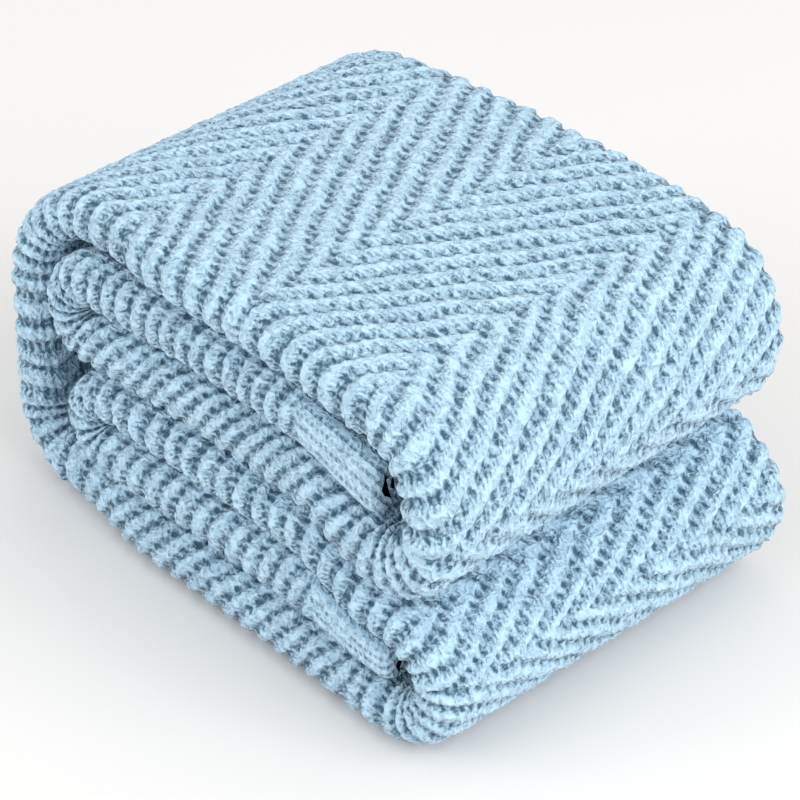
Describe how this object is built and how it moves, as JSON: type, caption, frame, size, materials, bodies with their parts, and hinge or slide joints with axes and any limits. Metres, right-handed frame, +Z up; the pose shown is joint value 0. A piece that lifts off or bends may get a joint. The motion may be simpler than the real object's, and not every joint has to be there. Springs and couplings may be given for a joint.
{
  "type": "knit throw blanket",
  "caption": "Chunky chevron-rib knit throw, folded lengthwise and then back and forth into a thick rounded pad whose front end shows rolled folds.",
  "frame": {"origin": "middle of the folded pad's footprint, on the surface it rests on", "axes": "+Z up; +X along the passes, towards the end with the rolled folds; -Y is the long side that shows the rounded fold edges"},
  "size_m": [0.318, 0.2148, 0.1935],
  "materials": {
    "yarn": "soft matte light blue acrylic yarn, chunky rib knit"
  },
  "bodies": {
    "root": {"throw_cloth": "yarn"}
  },
  "joints": []
}
